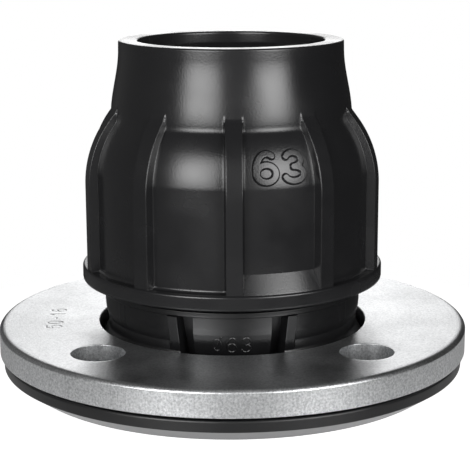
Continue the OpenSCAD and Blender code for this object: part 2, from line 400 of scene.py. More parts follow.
@dataclass
class NodeShape:
    """A geometry tree with named inputs, and the way to turn its result into a plain mesh."""

    name: str
    sizes: dict[str, str]
    wires: Wiring = field(init=False)

    def __post_init__(self) -> None:
        """Make the empty tree with its inputs."""
        tree = bpy.data.node_groups.new(self.name, "GeometryNodeTree")
        face = tree.interface
        face.new_socket("Geometry", in_out="INPUT", socket_type="NodeSocketGeometry")
        for label, kind in {**self.sizes, "Finish": "NodeSocketMaterial"}.items():
            face.new_socket(label, in_out="INPUT", socket_type=kind)
        face.new_socket("Geometry", in_out="OUTPUT", socket_type="NodeSocketGeometry")
        self.wires = Wiring(tree)
        self.given = tree.nodes.new("NodeGroupInput").outputs

    def close(self, geometry: NodeSocket) -> None:
        """End the tree: real geometry, welded, with its finish."""
        real = self.wires.node("GeometryNodeRealizeInstances", {"Geometry": geometry})
        whole = self.wires.node("GeometryNodeMergeByDistance", {"Geometry": real, "Distance": WELD * MM})
        dressed = self.wires.node("GeometryNodeSetMaterial",
                                  {"Geometry": whole, "Material": self.given["Finish"]})
        add_node(self.wires.tree, "NodeGroupOutput", {0: dressed})

    def apply(self, thing: Object, values: dict[str, object]) -> Object:
        """Run the tree on an object and keep the result as a plain mesh.

        Args:
            thing: Object that carries the tree's input geometry. It is replaced.
            values: A value for each named input.

        Returns:
            A new object of the same name, with a plain mesh.
        """
        modifier = thing.modifiers.new(self.name, "NODES")
        modifier.node_group = self.wires.tree
        for item in self.wires.tree.interface.items_tree:
            if item.in_out == "INPUT" and item.name in values:
                modifier[item.identifier] = values[item.name]
        ready = thing.evaluated_get(bpy.context.evaluated_depsgraph_get())
        mesh = bpy.data.meshes.new_from_object(ready)
        name = thing.name
        thing.modifiers.remove(modifier)
        bpy.data.objects.remove(thing)
        mesh.name = name
        return placed(name, mesh)


def repeat_about_axis() -> NodeShape:
    """Tree that sets copies of a sector round the pipe's axis and welds them."""
    shape = NodeShape("repeat_about_axis", {"Count": "NodeSocketInt", "Turn": "NodeSocketFloat"})
    wires, given = shape.wires, shape.given
    spots = wires.node("GeometryNodePoints", {"Count": given["Count"]})
    step = wires.math("DIVIDE", 2 * math.pi, given["Count"])
    angle = wires.math("MULTIPLY_ADD", wires.node("GeometryNodeInputIndex"), step, given["Turn"])
    shape.close(wires.node("GeometryNodeInstanceOnPoints", {
        "Points": spots, "Instance": given["Geometry"], "Rotation": wires.join(z=angle)}))
    return shape


def thread_ridge(run_out: float = 0.05, thinnest: float = 0.05) -> NodeShape:
    """Tree that sweeps a thread's ridge along a helix and lets it run out at both ends.

    Args:
        run_out: Share of the helix over which the ridge runs out, at each end.
        thinnest: Share of the ridge that is left at its ends.

    Returns:
        The tree.
    """
    sizes = ("Turns", "Radius", "Length", "Depth", "Root Width", "Crest Width", "Edge", "Turn")
    shape = NodeShape("thread_ridge", {**dict.fromkeys(sizes, "NodeSocketFloat"),
                                       "Start": "NodeSocketVector"})
    wires, given = shape.wires, shape.given
    helix = wires.node("GeometryNodeCurveSpiral", {
        "Resolution": 72, "Rotations": given["Turns"], "Start Radius": given["Radius"],
        "End Radius": given["Radius"], "Height": given["Length"]})
    upright = wires.node("GeometryNodeSetCurveNormal", {"Curve": helix}, mode="Z_UP")
    along = wires.node("GeometryNodeSplineParameter", out="Factor")
    fade = wires.math("MINIMUM", wires.ramp(along, (0.0, run_out), soft=True),
                      wires.ramp(along, (1.0, 1.0 - run_out), soft=True))
    path = wires.node("GeometryNodeSetCurveRadius",
                      {"Curve": upright, "Radius": wires.math("MAXIMUM", fade, thinnest)})
    tooth = wires.node("GeometryNodeCurvePrimitiveQuadrilateral", {
        "Height": given["Depth"], "Bottom Width": given["Root Width"],
        "Top Width": given["Crest Width"], "Offset": 0.0}, mode="TRAPEZOID")
    across = wires.node("GeometryNodeTransform", {"Geometry": tooth, "Rotation": (0.0, 0.0, math.pi / 2)})
    soft = wires.node("GeometryNodeFilletCurve",
                      {"Curve": across, "Radius": given["Edge"], "Count": 3}, mode="POLY")
    swept = wires.node("GeometryNodeCurveToMesh",
                       {"Curve": path, "Profile Curve": soft, "Fill Caps": True})
    shape.close(wires.node("GeometryNodeTransform", {
        "Geometry": swept, "Translation": given["Start"], "Rotation": wires.join(z=given["Turn"])}))
    return shape


# Finishes

# Range that most of a noise lies in
NOISE_SPAN = (0.3, 0.7)


@dataclass(frozen=True)
class Finish:
    """A surface finish: its colour, its gloss and the marks that break it. A metal states no index."""

    name: str
    colour: str
    roughness: float
    ior: float | None = None

    def marks(self, wires: Wiring, place: NodeSocket) -> Inputs:
        """Add the finish's own marks.

        Args:
            wires: Wiring of the material's tree.
            place: Object coordinates in millimetres.

        Returns:
            A value or a link for each input of the shader that the marks change.
        """
        raise NotImplementedError

    def build(self) -> Material:
        """Make the material: its colour, its gloss and then its marks."""
        material = bpy.data.materials.new(self.name)
        material.use_nodes = True
        wires = Wiring(material.node_tree)
        shader = wires.tree.nodes["Principled BSDF"]
        feed(wires.tree, shader, {"Base Color": linear(self.colour), "Roughness": self.roughness})
        if self.ior is not None:
            feed(wires.tree, shader, {"IOR": self.ior})
        place = wires.node("ShaderNodeTexCoord", out="Object")
        feed(wires.tree, shader, self.marks(wires, wires.vector("MULTIPLY", place, (1 / MM,) * 3)))
        return material


@dataclass(frozen=True)
class MouldedPolypropylene(Finish):
    """Black polypropylene from a spark-eroded mould: satin, with a fine grain and faint flow marks."""

    grain_mm: float = 0.6
    grain_depth_mm: float = 0.03
    flow_mm: float = 14.0
    flow_depth_mm: float = 0.004
    spread: float = 0.05

    def marks(self, wires: Wiring, place: NodeSocket) -> Inputs:
        """Add broken highlights and a slightly uneven gloss."""
        # The mould's grain is finer than a pixel, so it is drawn coarser to show
        grain = wires.noise(place, self.grain_mm)
        # Melt that chilled while it flowed leaves long soft swells
        flow = wires.noise(place, self.flow_mm)
        gloss = wires.ramp(flow, NOISE_SPAN, self.roughness - self.spread, self.roughness + self.spread)
        swell = wires.bump(flow, self.flow_depth_mm)
        return {"Roughness": gloss, "Normal": wires.bump(grain, self.grain_depth_mm, Normal=swell)}


@dataclass(frozen=True)
class TurnedPolypropylene(Finish):
    """Black polypropylene turned on a lathe, with fine rings; the grey it is given is a painted reflection of
    the table's light.
    """

    ring_mm: float = 0.6
    ring_depth_mm: float = 0.01

    def marks(self, wires: Wiring, place: NodeSocket) -> Inputs:
        """Add concentric tool marks round the axis."""
        rings = wires.node("ShaderNodeTexNoise", {
            "W": wires.from_axis(place), "Scale": 1 / self.ring_mm, "Detail": 2.0}, noise_dimensions="1D")
        return {"Normal": wires.bump(rings, self.ring_depth_mm)}


@dataclass(frozen=True)
class HotDipZinc(Finish):
    """Steel dipped in molten zinc: bright and granular, with duller patches, streaks and brush marks, and a
    painted highlight that makes upward faces lighter.
    """

    dull_colour: str = "#9a9c9e"
    patch_mm: float = 16.0
    grain_mm: float = 0.7
    grain_depth_mm: float = 0.05
    grain_span: Point = (0.25, 0.7)
    streak_mm: float = 0.5
    streak_length_mm: float = 9.0
    streak_share: float = 0.5
    tone_span: Point = (0.1, 1.3)
    lap_r_mm: float = 70.0
    brush_mm: float = 0.5
    brush_depth_mm: float = 0.02
    brushed_from: Point = (0.5, 0.7)
    # Painted highlight: how far upward faces are lifted towards the bright colour, and the upward lean where
    # that starts
    painted_top_lift: float = 0.3
    painted_top_from: Point = (0.7, 0.98)
    spread: float = 0.04

    def strokes(self, wires: Wiring, place: NodeSocket, round_mm: float, out_mm: float,
                detail: float) -> NodeSocket:
        """Noise that is drawn out to one length round the axis and to another away from it."""
        angle = wires.math("ARCTAN2", wires.part(place, "Y"), wires.part(place, "X"))
        lap = wires.math("MULTIPLY", angle, self.lap_r_mm / round_mm)
        out = wires.math("DIVIDE", wires.from_axis(place), out_mm)
        return wires.noise(wires.join(lap, out), 1.0, detail)

    def marks(self, wires: Wiring, place: NodeSocket) -> Inputs:
        """Add a speckled skin, faint cloudy patches, radial streaks and a brushed top, whose tone is painted
        lighter as a painted highlight.
        """
        # Crystals of the coating, under a millimetre across, each with its own tone and tilt
        grain = wires.noise(place, self.grain_mm, roughness=0.7)
        speck = wires.ramp(grain, self.grain_span)
        # Run-off leaves fine streaks that point away from the axis
        streak = self.strokes(wires, place, self.streak_mm, self.streak_length_mm, 2.0)
        # Upward faces are brushed round the axis; their speckle is calmer and their tone is painted lighter,
        # a painted highlight for the top
        brush = self.strokes(wires, place, self.streak_length_mm, self.brush_mm, 3.0)
        upward = wires.part(wires.node("ShaderNodeNewGeometry", out="Normal"), "Z")
        on_top = wires.ramp(upward, self.brushed_from)
        lines = wires.mix(on_top, streak, brush)
        shade = wires.ramp(wires.math("MULTIPLY_ADD", lines, self.streak_share, speck), self.tone_span)
        # Painted highlight: faces that look up are lifted towards the bright colour
        painted_top_light = wires.ramp(upward, self.painted_top_from, high=self.painted_top_lift)
        even = wires.math("MULTIPLY_ADD", wires.math("SUBTRACT", 1.0, shade), painted_top_light, shade)
        tone = wires.mix(even, linear(self.dull_colour), linear(self.colour), colour=True)
        # Patches where the zinc froze at another speed are a little duller
        patch = wires.noise(place, self.patch_mm, 3.0)
        gloss = wires.ramp(patch, NOISE_SPAN, self.roughness + self.spread, self.roughness - self.spread)
        scratch = wires.bump(brush, self.brush_depth_mm, Strength=on_top)
        skin = wires.bump(grain, self.grain_depth_mm, Normal=scratch)
        return {"Metallic": 1.0, "Base Color": tone, "Roughness": gloss, "Normal": skin}


@dataclass(frozen=True)
class PlainMoulding(Finish):
    """A small moulding with an even skin, such as rubber or acetal, broken by a fine grain."""

    grain_mm: float = 0.6
    grain_depth_mm: float = 0.01

    def marks(self, wires: Wiring, place: NodeSocket) -> Inputs:
        """Add a fine grain."""
        return {"Normal": wires.bump(wires.noise(place, self.grain_mm), self.grain_depth_mm)}


# Numbers


class Bow(NamedTuple):
    """Part of an ellipse in a numeral's box, which reaches from -1 to 1 both ways. Angles in degrees."""

    x: float
    y: float
    rx: float
    ry: float
    start: float = 0.0
    end: float = 360.0

    def points(self) -> np.ndarray:
        """Points along the bow."""
        a = np.radians(np.linspace(self.start, self.end, 33))
        return np.stack([self.x + self.rx * np.cos(a), self.y + self.ry * np.sin(a)], axis=-1)


class Bar(NamedTuple):
    """A straight stroke in a numeral's box."""

    x0: float
    y0: float
    x1: float
    y1: float

    def points(self) -> np.ndarray:
        """Both ends of the bar."""
        return np.array([[self.x0, self.y0], [self.x1, self.y1]])


STROKES: dict[str, tuple[Bow | Bar, ...]] = {
    "0": (Bow(0.0, 0.0, 1.0, 1.0),),
    "1": (Bar(0.1, -1.0, 0.1, 1.0), Bar(0.1, 1.0, -0.6, 0.5)),
    "3": (Bow(-0.05, 0.5, 0.88, 0.5, 150.0, -90.0), Bow(-0.05, -0.5, 1.05, 0.5, 90.0, -155.0)),
    "5": (Bar(0.85, 1.0, -0.7, 1.0), Bar(-0.7, 1.0, -0.8, 0.1), Bow(-0.05, -0.34, 1.05, 0.66, 135.0, -150.0)),
    "6": (Bow(0.0, -0.4, 1.0, 0.6), Bow(0.1, -0.1, 1.1, 1.1, 58.0, 195.0)),
    "-": (Bar(-0.6, 0.0, 0.6, 0.0),),
    "diameter": (Bow(0.0, 0.0, 1.0, 0.8), Bar(-1.0, -1.1, 1.0, 1.1)),
}


@dataclass(frozen=True)
class Numbers:
    """A row of plain numerals, as the distance from their pen strokes."""

    signs: tuple[str, ...]
    height: float
    width: float
    gap: float
    pen: float

    @property
    def length(self) -> float:
        """Length of the row, from outer edge to outer edge."""
        return len(self.signs) * self.width + (len(self.signs) - 1) * self.gap

    def distance(self, u: np.ndarray, v: np.ndarray) -> np.ndarray:
        """Distance of points from the nearest stroke's centre line.

        Args:
            u: Places along the row, from its middle.
            v: Places up the row, from its middle.

        Returns:
            The distances, in the layout of u.
        """
        nearest = np.full(u.shape, 1e9)
        half = np.array([self.width - self.pen, self.height - self.pen]) / 2
        for i, sign in enumerate(self.signs):
            middle = np.array([-self.length / 2 + self.width / 2 + i * (self.width + self.gap), 0.0])
            for stroke in STROKES[sign]:
                line = stroke.points() * half + middle
                for a, b in zip(line[:-1], line[1:]):
                    du, dv = b - a
                    t = np.clip(((u - a[0]) * du + (v - a[1]) * dv) / (du * du + dv * dv), 0.0, 1.0)
                    nearest = np.minimum(nearest, np.hypot(u - a[0] - t * du, v - a[1] - t * dv))
        return nearest


@dataclass(frozen=True)
class RaisedNumbers:
    """Numerals that stand out of a moulding, with drafted sides and soft edges."""

    numbers: Numbers
    rise: float
    draft: float
    sink: float = 0.25
    cell: float = 0.16

    def build(self, name: str, surface: Callable[[np.ndarray, np.ndarray], tuple[np.ndarray, np.ndarray]],
              finish: Material) -> Object:
        """Wrap the numerals on a surface as one closed solid that is sunk into it.

        Args:
            name: Name of the piece.
            surface: Gives points and outward normals for places along and up the row.
            finish: Material of the numerals.

        Returns:
            The new object.
        """
        margin = 2 * self.cell
        half_u = self.numbers.length / 2 + margin + self.draft
        half_v = self.numbers.height / 2 + margin + self.draft
        u, v = np.meshgrid(np.arange(-half_u, half_u + self.cell, self.cell),
                           np.arange(-half_v, half_v + self.cell, self.cell))
        away = self.numbers.distance(u, v) - self.numbers.pen / 2
        height = self.rise * smoothstep(self.draft / 2, -self.draft / 2, away)
        height -= self.sink * np.clip((away - self.draft / 2) / margin, 0.0, 1.0)
        spots, normals = surface(u, v)
        shell = Shell()
        top = shell.add_points(spots + normals * height[..., None])
        under = shell.add_points(spots - normals * 2 * self.sink)
        inked = away < self.draft / 2 + margin
        cells = inked[:-1, :-1] | inked[:-1, 1:] | inked[1:, 1:] | inked[1:, :-1]
        # Cells that meet only at a corner are joined, so that each edge has two faces
        cells[:-1, 1:] |= cells[:-1, :-1] & cells[1:, 1:] & ~cells[1:, :-1]
        cells[:-1, :-1] |= cells[:-1, 1:] & cells[1:, :-1] & ~cells[1:, 1:]
        walls: dict[tuple[int, int], tuple[int, int]] = {}
        for i, j in np.argwhere(cells):
            ring = [(i, j), (i, j + 1), (i + 1, j + 1), (i + 1, j)]
            shell.faces.append(tuple(int(top[c]) for c in ring))
            shell.faces.append(tuple(int(under[c]) for c in reversed(ring)))
            for a, b in zip(ring, ring[1:] + ring[:1]):
                key = (int(top[b]), int(top[a]))
                if key in walls:
                    del walls[key]
                else:
                    walls[(int(top[a]), int(top[b]))] = (int(under[a]), int(under[b]))
        for (a, b), (c, d) in walls.items():
            shell.faces.append((a, c, d, b))
        used = sorted({i for face in shell.faces for i in face})
        order = {old: new for new, old in enumerate(used)}
        shell.points = shell.points[used]
        shell.faces = [tuple(order[i] for i in face) for face in shell.faces]
        return shell.to_object(name, finish)


# Pieces


@dataclass(frozen=True)
class Thread:
    """The coarse right-hand thread that the body and the nut share."""

    crest_r: float = 44.9
    depth: float = 2.4
    pitch: float = 6.0
    foot: float = 34.0
    length: float = 33.0
    play: float = 0.3
    edge: float = 0.3
    sunk: float = 0.4
    wide_share: float = 0.48
    narrow_share: float = 0.26

    @property
    def root_r(self) -> float:
        """Radius of the thread's root on the body."""
        return self.crest_r - self.depth

    def ridge(self, shape: NodeShape, name: str, start: float, length: float, inside: bool,
              finish: Material) -> Object:
        """Make a helical ridge, on the body's outside or in the nut's bore.

        Args:
            shape: Tree that sweeps a ridge.
            name: Name of the piece.
            start: Height where the ridge starts.
            length: Height that it climbs.
            inside: Whether it stands inwards, from the nut's bore.
            finish: Material of the ridge.

        Returns:
            The new object.
        """
        depth = self.depth - self.play if inside else self.depth
        wall_r = self.crest_r + self.play if inside else self.root_r
        middle_r = wall_r + (depth - self.sunk) / 2 * (-1 if inside else 1)
        root, crest = self.wide_share * self.pitch, self.narrow_share * self.pitch
        if inside:
            root, crest = crest, root
        phase = 2 * math.pi * ((start - self.foot) / self.pitch + (0.5 if inside else 0.0))
        carrier = bpy.data.objects.new(name, bpy.data.meshes.new(name))
        bpy.context.scene.collection.objects.link(carrier)
        return shape.apply(carrier, {
            "Turns": length / self.pitch, "Radius": middle_r * MM, "Length": length * MM,
            "Depth": (depth + self.sunk) * MM, "Root Width": root * MM, "Crest Width": crest * MM,
            "Edge": self.edge * MM, "Start": (0.0, 0.0, start * MM), "Turn": phase, "Finish": finish})


@dataclass
class CompressionNut:
    """Ribbed nut that screws down on the body and wedges the grip ring against the pipe."""

    bottom: float
    top: float
    rim_r: float
    rim_h: float = 5.2
    rim_lip: float = 0.8
    edge: float = 0.8
    rib_h: float = 3.0
    wall: float = 3.7
    ledge_r: float = 1.0
    panel_h: float = 34.0
    dome_r: float = 32.0
    dome_lean: float = 5.0
    dome_fillet: float = 3.5
    top_r: float = 38.75
    mouth_r: float = 32.25
    mouth_land: float = 4.0
    spigot_r: float = 122.0
    spigot_lean: float = 1.15
    spigot_ends: float = 0.15
    spigot_reach: float = 0.88
    foot_lean: float = 4.5
    cone_r: float = 41.5
    cone_z: float = 78.0
    shoulder_z: float = 70.5
    rib_count: int = 10
    rib_w: float = 5.6
    rib_turn: float = 0.9
    rib_dome_r: float = 36.0
    rib_drop: float = 4.3
    rib_fillet: float = 10.0
    rib_edge: float = 0.3
    rib_foot: float = 0.2
    rib_swell: float = 0.4
    rib_draft: float = 0.35
    rib_sink: float = 0.16
    pad_h: float = 6.2
    size_height: float = 11.4
    size_z: float = 80.9
    # Small roundings, runs and strips
    inner_edge: float = 0.5
    top_edge: float = 0.75
    tip_fall: float = 0.06
    tip_run: float = 5.0
    pad_deep: float = 1.6
    pad_edge: float = 0.3
    pad_run_out: float = 1.2
    thread_lead: float = 3.0
    thread_tail: float = 2.0
    # Fineness of the mesh
    spigot_sweep: float = 15.0
    dome_steps: int = 30
    fillet_steps: int = 12
    spigot_points: int = 45
    wall_points: int = 9
    pad_columns: int = 24
    rib_columns: tuple[float, ...] = (0.0, 0.45, 0.85)
    panel_columns: tuple[float, ...] = (0.06, 0.2, 0.4, 0.6, 0.8, 1.0)

    def __post_init__(self) -> None:
        """Work out the radii and heights that follow from the driving sizes."""
        self.rib_r = self.rim_r - self.rim_lip
        self.panel_r = self.rib_r - self.rib_h
        self.bore_r = self.panel_r - self.wall
        self.ledge_z = self.bottom + self.rim_h
        self.panel_z = self.ledge_z + self.panel_h
        self.rib_z = self.panel_z - self.rib_drop
        lean = math.radians(self.spigot_lean)
        self.spigot_centre = (self.top_r + self.spigot_r * math.cos(lean),
                              self.top - self.edge + self.spigot_r * math.sin(lean))
        self.panel_curve = self.dome(self.panel_r, self.panel_z, self.dome_r, self.dome_lean,
                                     self.dome_fillet, self.foot_lean)
        self.rib_curve = np.array(self.dome(self.rib_r, self.rib_z, self.rib_dome_r, 0.0, self.rib_fillet))
        # The spigot swells out from the plain curve that the fillets touch, and the ribs run out there
        plain = np.array(arc(self.spigot_centre, self.spigot_r, 180.0 + self.spigot_sweep,
                             180.0 + self.spigot_lean, 2 * self.dome_steps))
        skin = np.array(self.spigot())
        swell = skin[:, 0] - np.interp(skin[:, 1], plain[:, 1], plain[:, 0])
        self.rib_curve[:, 0] += self.rib_swell * np.interp(self.rib_curve[:, 1], skin[:, 1], swell, left=0.0)

    def dome(self, wall_r: float, z: float, radius: float, lean: float, fillet: float,
             end: float | None = None) -> list[Point]:
        """Outline from a wall over its dome and fillet on to the spigot.

        Args:
            wall_r: Radius of the wall.
            z: Height where the dome leaves it.
            radius: Radius of the dome's curve.
            lean: Lean of the dome at its foot, in degrees.
            fillet: Radius of the fillet between the dome and the spigot.
            end: Lean where the fillet ends, in degrees, or None to end it on the spigot's plain curve.

        Returns:
            Points of the outline, from the wall upwards.
        """
        centre = (wall_r - radius * math.cos(math.radians(lean)), z - radius * math.sin(math.radians(lean)))
        blend = circles_meet(centre, radius + fillet, self.spigot_centre, self.spigot_r - fillet)
        leave = heading(centre, blend)
        meet = heading(self.spigot_centre, blend) % 360 if end is None else 180.0 + end
        bend = arc(blend, fillet, leave + 180, meet, self.fillet_steps)
        return arc(centre, radius, lean, leave, self.dome_steps) + bend[1:]

    def spigot(self) -> list[Point]:
        """Outline of the hollow spigot, swept in a long S from the dome's fillet to the top edge."""
        foot_r, foot_z = self.panel_curve[-1]
        share = np.linspace(0.0, 1.0, self.spigot_points)
        ease = self.spigot_ends * share + (1 - self.spigot_ends) * smoothstep(0.0, self.spigot_reach, share)
        z = foot_z + (self.top - self.edge - foot_z) * share
        return list(zip((foot_r + (self.top_r - foot_r) * ease).tolist(), z.tolist()))

    def outside(self) -> np.ndarray:
        """Outline from the rim's foot to the top edge."""
        low = rounded([
            (self.bore_r + self.edge, self.bottom), (self.rim_r, self.bottom, self.edge),
            (self.rim_r, self.ledge_z, self.edge), (self.panel_r, self.ledge_z, self.ledge_r),
            (self.panel_r, self.rib_z)], False)
        wall = [(self.panel_r, z) for z in np.linspace(self.rib_z, self.panel_z, self.wall_points)]
        return joined(low, wall, self.panel_curve, self.spigot())

    def inside(self) -> np.ndarray:
        """Outline from the top edge through the mouth and the cone down to the bore's foot."""
        small = self.inner_edge
        return outline(
            self.spigot()[-1], (self.top_r, self.top, self.top_edge),
            (self.mouth_r, self.top, self.edge),
            (self.mouth_r, self.top - self.mouth_land, small), (self.cone_r, self.cone_z, small),
            (self.cone_r, self.shoulder_z, small), (self.bore_r, self.shoulder_z, small),
            (self.bore_r, self.bottom))[1:]

    def rib_top(self, z: np.ndarray) -> np.ndarray:
        """Distance of a rib's flat top from the axis. Past its tip it lies below the spigot's skin."""
        skin = joined(self.panel_curve, self.spigot())
        tip_z = self.rib_curve[-1, 1]
        along = np.interp(z, self.rib_curve[:, 1], self.rib_curve[:, 0])
        past = np.interp(z, skin[:, 1], skin[:, 0]) - self.tip_fall * (z - tip_z)
        sunk = self.rib_sink * smoothstep(tip_z - self.tip_run, tip_z, z)
        return np.where(z <= tip_z, along, past) - sunk

    def sector(self) -> np.ndarray:
        """Points of one rib with half a panel on each side, over the whole outline."""
        outside = self.outside()
        path = np.vstack([outside, self.inside()])
        r, z = path[:, :1], path[:, 1:]
        ribbed = (np.arange(len(path))[:, None] < len(outside)) & (z >= self.ledge_z - WELD)
        half = self.rib_w / 2
        quarter = np.radians(np.linspace(0.0, 90.0, 5))
        flat = np.array(self.rib_columns) * (half - self.rib_edge)
        over = half - self.rib_edge * (1 - np.sin(quarter))
        foot = half + self.rib_draft + self.rib_foot * (1 - np.cos(quarter))
        u = np.concatenate([flat, over, foot])
        top = len(flat) + len(over)
        skin = np.sqrt(r * r - u * u)
        crest = np.where(ribbed, self.rib_top(z), 0.0)
        soft = np.clip((crest - skin[:, top:top + 1]) / (self.rib_edge + self.rib_foot), 0.0, 1.0)
        drop = np.concatenate([np.zeros(len(flat)), self.rib_edge * (1 - np.cos(quarter))])
        out = np.hstack([np.maximum(skin[:, :top], crest - soft * drop),
                         skin[:, top:] + soft * self.rib_foot * (1 - np.sin(quarter))])
        near = np.stack(np.broadcast_arrays(u, -out, z), axis=-1)
        start = np.arcsin((half + self.rib_draft + self.rib_foot) / r)
        angle = start + (math.pi / self.rib_count - start) * np.array(self.panel_columns)
        side = np.concatenate([near, around(r, angle, z)], axis=1)
        return np.concatenate([side[:, :0:-1] * (-1.0, 1.0, 1.0), side], axis=1)

    def pad(self, finish: Material) -> Object:
        """Make the sloped pad that fills the ledge of the panel to the right of the front rib."""
        deep = self.pad_deep
        path = joined(rounded([
            (self.panel_r - deep, self.ledge_z - deep), (self.rib_r, self.ledge_z - deep),
            (self.rib_r, self.ledge_z, self.pad_edge),
            (self.panel_r, self.ledge_z + self.pad_h, self.pad_run_out),
            (self.panel_r - deep, self.ledge_z + self.pad_h + 2 * deep)]))
        step = 2 * math.pi / self.rib_count
        hidden = math.asin(self.rib_w / 4 / self.panel_r)
        angles = math.radians(self.rib_turn) + np.linspace(hidden, step - hidden, self.pad_columns)
        shell = Shell()
        shell.add_capped(turned(path, angles))
        return shell.to_object("nut_sloped_pad", finish)

    def dome_surface(self, u: np.ndarray, v: np.ndarray) -> tuple[np.ndarray, np.ndarray]:
        """Points and outward normals of the right-hand front panel's dome.

        Args:
            u: Places along the panel, in millimetres from its middle.
            v: Places up the dome, in millimetres from the numerals' middle.

        Returns:
            The points and the normals.
        """
        skin = joined([(self.panel_r, self.rib_z)], self.panel_curve)
        run = np.concatenate([[0.0], np.cumsum(np.hypot(*np.diff(skin, axis=0).T))])
        middle = np.interp(self.size_z, skin[:, 1], run)
        r, z = (np.interp(v + middle, run, values) for values in skin.T)
        dr, dz = (np.interp(v + middle, run, values) for values in np.gradient(skin, run, axis=0).T)
        turn = math.radians(self.rib_turn) + math.pi / self.rib_count
        angle = turn + u / np.interp(middle, run, skin[:, 0])
        normals = around(dz, angle, -dr)
        return around(r, angle, z), normals / np.linalg.norm(normals, axis=-1, keepdims=True)

    def build(self, repeat: NodeShape, ridge: NodeShape, thread: Thread,
              finish: Material) -> list[Object]:
        """Make the nut's skin, its thread, its pad and its size.

        Args:
            repeat: Tree that repeats a sector.
            ridge: Tree that sweeps a thread's ridge.
            thread: The thread that it shares with the body.
            finish: Material of the nut.

        Returns:
            The nut's pieces, the skin first.
        """
        shell = Shell()
        shell.add_grid(self.sector(), close_rows=True)
        sector = shell.to_object("nut_skin", finish)
        skin = repeat.apply(sector, {
            "Count": self.rib_count, "Turn": math.radians(self.rib_turn), "Finish": finish})
        start = self.bottom + self.thread_lead
        climb = self.shoulder_z - start - self.thread_tail
        inner = thread.ridge(ridge, "nut_thread", start, climb, True, finish)
        size = RaisedNumbers(Numbers(("6", "3"), self.size_height, width=8.6, gap=0.9, pen=2.3),
                             rise=0.75, draft=0.6, cell=0.1)
        return [skin, inner, self.pad(finish), size.build("nut_size", self.dome_surface, finish)]

    def dress(self, pieces: list[Object]) -> None:
        """Put the pieces on the nut's body in place of its solid."""
        for piece in pieces:
            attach(piece, Body.NUT.value)
        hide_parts("compression_nut")


@dataclass
class Plate:
    """A round plate with a turned rim and bolt holes, round a middle of any form."""

    rim: np.ndarray
    hole: np.ndarray
    hole_count: int = 4
    hole_circle: float = 62.5
    rim_columns: int = 240
    hole_columns: int = 64

    def build(self, shell: Shell, middle: np.ndarray, cuts: Sequence[np.ndarray] = ()) -> None:
        """Add the plate to a shell.

        Args:
            shell: Shell that gets the plate.
            middle: Grid of points of the plate's middle, from the top face round to the bottom face.
            cuts: Loops of points already in the shell that the top face leaves open.
        """
        rim = shell.add_grid(turned(self.rim, full_turn(self.rim_columns)), close_columns=True)
        core = shell.add_grid(middle, close_columns=True)
        holes = []
        for i in range(self.hole_count):
            a = 2 * math.pi * (i + 0.5) / self.hole_count
            centre = (self.hole_circle * math.sin(a), -self.hole_circle * math.cos(a))
            wall = turned(self.hole, full_turn(self.hole_columns), centre)
            holes.append(shell.add_grid(wall, close_columns=True))
        shell.fill([rim[0], core[0], *(hole[0] for hole in holes), *cuts])
        shell.fill([rim[-1], core[-1], *(hole[-1] for hole in holes)])


